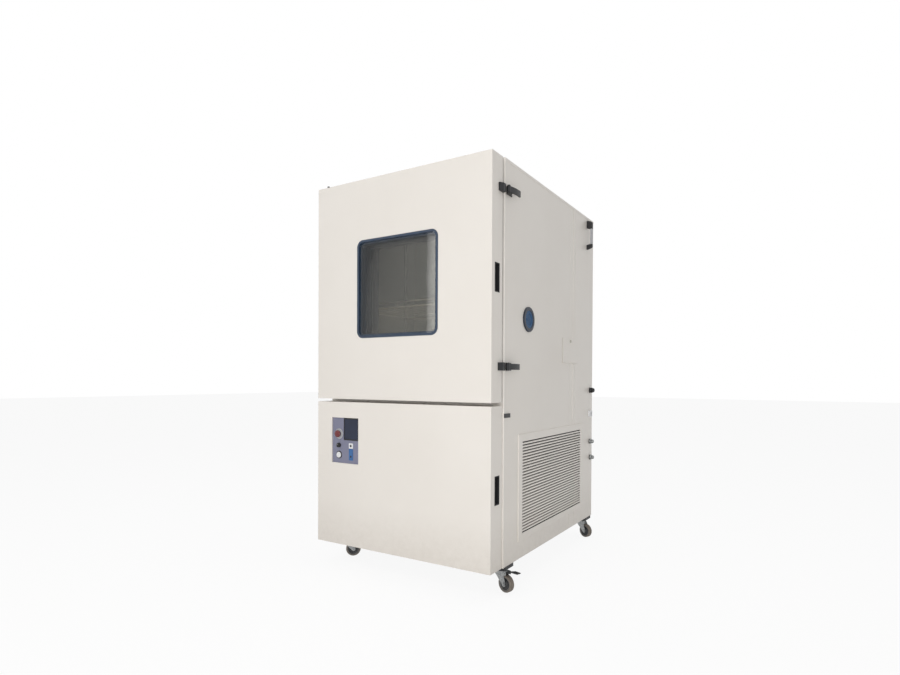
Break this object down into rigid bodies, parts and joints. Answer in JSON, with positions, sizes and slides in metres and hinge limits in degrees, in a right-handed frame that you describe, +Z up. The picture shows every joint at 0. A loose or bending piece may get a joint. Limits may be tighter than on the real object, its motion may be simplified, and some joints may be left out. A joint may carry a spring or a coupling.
{
  "type": "environmental test chamber",
  "caption": "Two-door climate chamber on castors: windowed upper door over an insulated chamber, machine space below with side grille, cable port and control field.",
  "frame": {"origin": "on the floor under the middle of the cabinet", "axes": "+Z up, front towards -Y, +X to the right seen from the front"},
  "size_m": [1.1595, 1.3496, 1.993],
  "materials": {
    "painted_sheet": "satin powder coat",
    "zinc_sheet": "galvanised",
    "stainless": "brushed",
    "foam": "cut foam",
    "glass": "clear",
    "navy_frame": "satin",
    "black_silicone": "matt",
    "black_fitting": "fine grained",
    "blue_silicone": "matt",
    "navy_ring": "satin",
    "machine_paint": "gloss enamel",
    "aluminium_fins": "rolled",
    "grey_plate": "satin",
    "screen_glass": "polished",
    "grey_plastic": "moulded",
    "red_plastic": "moulded",
    "plated_steel": "zinc plated",
    "castor_rubber": "worn"
  },
  "bodies": {
    "cabinet": {"front_frame": "painted_sheet", "side_panel_left": "painted_sheet", "side_panel_right": "painted_sheet", "roof_panel": "painted_sheet", "rear_panel": "painted_sheet", "rear_screws": "plated_steel", "base_pan": "zinc_sheet", "inner_partition": "zinc_sheet", "chamber_insulation": "foam", "chamber_liner": "stainless", "wire_shelf": "stainless", "air_baffle": "stainless", "air_coils": "stainless", "fan_motor": "machine_paint", "condenser_coil": "aluminium_fins", "condenser_shroud": "zinc_sheet", "compressor": "machine_paint", "humidifier_tank": "stainless", "control_gear": "zinc_sheet", "side_grille": "painted_sheet", "port_flange": "navy_ring", "side_connectors": "plated_steel", "rear_grab_handle": "black_fitting", "cabinet_fittings": "black_fitting", "castor_mounts": "black_fitting"},
    "upper_door": {"upper_door_shell": "painted_sheet", "upper_door_insulation": "foam", "upper_door_liner": "stainless", "window_frame": "navy_frame", "window_panes": "glass", "window_spacers": "stainless", "door_gasket": "black_silicone", "upper_handle_pocket": "black_fitting", "upper_door_fittings": "black_fitting"},
    "lower_door": {"lower_door_shell": "painted_sheet", "lower_door_hinges": "black_fitting", "lower_handle_pocket": "black_fitting", "control_plate": "grey_plate", "touch_screen": "screen_glass", "control_bezels": "grey_plastic"},
    "circulation_fan": {"circulation_fan": "stainless"},
    "condenser_fan": {"condenser_fan": "black_fitting"},
    "port_plug": {"port_plug": "blue_silicone"},
    "access_hatch": {"access_hatch": "painted_sheet"},
    "hatch_lock": {"hatch_lock": "plated_steel"},
    "lower_latch_handle": {"lower_latch_handle": "black_fitting"},
    "upper_latch_handle": {"upper_latch_handle": "black_fitting"},
    "emergency_stop": {"emergency_stop": "red_plastic"},
    "selector_knob": {"selector_knob": "black_fitting"},
    "push_button": {"push_button": "grey_plastic"},
    "castor_fork_front_left": {"castor_fork_front_left": "plated_steel"},
    "castor_wheel_front_left": {"castor_wheel_front_left": "castor_rubber"},
    "castor_fork_front_right": {"castor_fork_front_right": "plated_steel"},
    "castor_wheel_front_right": {"castor_wheel_front_right": "castor_rubber"},
    "castor_fork_rear_left": {"castor_fork_rear_left": "plated_steel"},
    "castor_wheel_rear_left": {"castor_wheel_rear_left": "castor_rubber"},
    "castor_fork_rear_right": {"castor_fork_rear_right": "plated_steel"},
    "castor_wheel_rear_right": {"castor_wheel_rear_right": "castor_rubber"},
    "brake_pedal_front_left": {"brake_pedal_front_left": "black_fitting"},
    "brake_pedal_front_right": {"brake_pedal_front_right": "black_fitting"}
  },
  "joints": [
    {"name": "upper_door_hinge", "type": "hinge", "parent": "cabinet", "child": "upper_door", "pos_m": [-0.556, -0.5625, 1.42], "axis": [0, 0, -1], "range_deg": [0, 120]},
    {"name": "lower_door_hinge", "type": "hinge", "parent": "cabinet", "child": "lower_door", "pos_m": [-0.556, -0.5625, 0.5], "axis": [0, 0, -1], "range_deg": [0, 110]},
    {"name": "upper_latch_turn", "type": "hinge", "parent": "cabinet", "child": "upper_latch_handle", "pos_m": [0.54, -0.5485, 1.833], "axis": [0, 0, -1], "range_deg": [0, 80]},
    {"name": "lower_latch_turn", "type": "hinge", "parent": "cabinet", "child": "lower_latch_handle", "pos_m": [0.54, -0.5485, 1.038], "axis": [0, 0, -1], "range_deg": [0, 80]},
    {"name": "port_plug_pull", "type": "slide", "parent": "cabinet", "child": "port_plug", "axis": [1, 0, 0], "range_m": [0, 0.115]},
    {"name": "hatch_fold", "type": "hinge", "parent": "cabinet", "child": "access_hatch", "pos_m": [0.5283, 0.2685, 1.077], "axis": [0, 1, 0], "range_deg": [0, 170]},
    {"name": "hatch_lock_turn", "type": "hinge", "parent": "access_hatch", "child": "hatch_lock", "pos_m": [0.529, 0.2685, 1.2], "axis": [1, 0, 0], "range_deg": [0, 90]},
    {"name": "circulation_fan_spin", "type": "hinge", "parent": "cabinet", "child": "circulation_fan", "pos_m": [0, 0.08, 1.426], "axis": [0, 1, 0], "continuous": true},
    {"name": "condenser_fan_spin", "type": "hinge", "parent": "cabinet", "child": "condenser_fan", "pos_m": [0.42, 0.041, 0.368], "axis": [1, 0, 0], "continuous": true},
    {"name": "emergency_stop_press", "type": "slide", "parent": "lower_door", "child": "emergency_stop", "axis": [0, 1, 0], "range_m": [0, 0.005], "stiffness_N_per_m": 400},
    {"name": "selector_knob_turn", "type": "hinge", "parent": "lower_door", "child": "selector_knob", "pos_m": [-0.375, -0.6675, 0.637], "axis": [0, 1, 0], "range_deg": [-45, 45]},
    {"name": "push_button_press", "type": "slide", "parent": "lower_door", "child": "push_button", "axis": [0, 1, 0], "range_m": [0, 0.0025], "stiffness_N_per_m": 200},
    {"name": "castor_swivel_front_left", "type": "hinge", "parent": "cabinet", "child": "castor_fork_front_left", "pos_m": [-0.479, -0.4895, 0.11], "axis": [0, 0, 1], "continuous": true},
    {"name": "castor_roll_front_left", "type": "hinge", "parent": "castor_fork_front_left", "child": "castor_wheel_front_left", "pos_m": [-0.4515, -0.46474, 0.04], "axis": [0.6691, -0.7431, 0], "continuous": true},
    {"name": "brake_pedal_press_front_left", "type": "hinge", "parent": "castor_fork_front_left", "child": "brake_pedal_front_left", "pos_m": [-0.44705, -0.46073, 0.09], "axis": [-0.6691, 0.7431, 0], "range_deg": [0, 12]},
    {"name": "castor_swivel_front_right", "type": "hinge", "parent": "cabinet", "child": "castor_fork_front_right", "pos_m": [0.479, -0.4895, 0.11], "axis": [0, 0, 1], "continuous": true},
    {"name": "castor_roll_front_right", "type": "hinge", "parent": "castor_fork_front_right", "child": "castor_wheel_front_right", "pos_m": [0.51438, -0.50032, 0.04], "axis": [-0.2924, -0.9563, 0], "continuous": true},
    {"name": "brake_pedal_press_front_right", "type": "hinge", "parent": "castor_fork_front_right", "child": "brake_pedal_front_right", "pos_m": [0.52012, -0.50207, 0.09], "axis": [0.2924, 0.9563, 0], "range_deg": [0, 12]},
    {"name": "castor_swivel_rear_left", "type": "hinge", "parent": "cabinet", "child": "castor_fork_rear_left", "pos_m": [-0.479, 0.6125, 0.11], "axis": [0, 0, 1], "continuous": true},
    {"name": "castor_roll_rear_left", "type": "hinge", "parent": "castor_fork_rear_left", "child": "castor_wheel_rear_left", "pos_m": [-0.51438, 0.62332, 0.04], "axis": [0.2924, 0.9563, 0], "continuous": true},
    {"name": "castor_swivel_rear_right", "type": "hinge", "parent": "cabinet", "child": "castor_fork_rear_right", "pos_m": [0.479, 0.6125, 0.11], "axis": [0, 0, 1], "continuous": true},
    {"name": "castor_roll_rear_right", "type": "hinge", "parent": "castor_fork_rear_right", "child": "castor_wheel_rear_right", "pos_m": [0.51331, 0.59864, 0.04], "axis": [-0.3746, -0.9272, 0], "continuous": true}
  ]
}
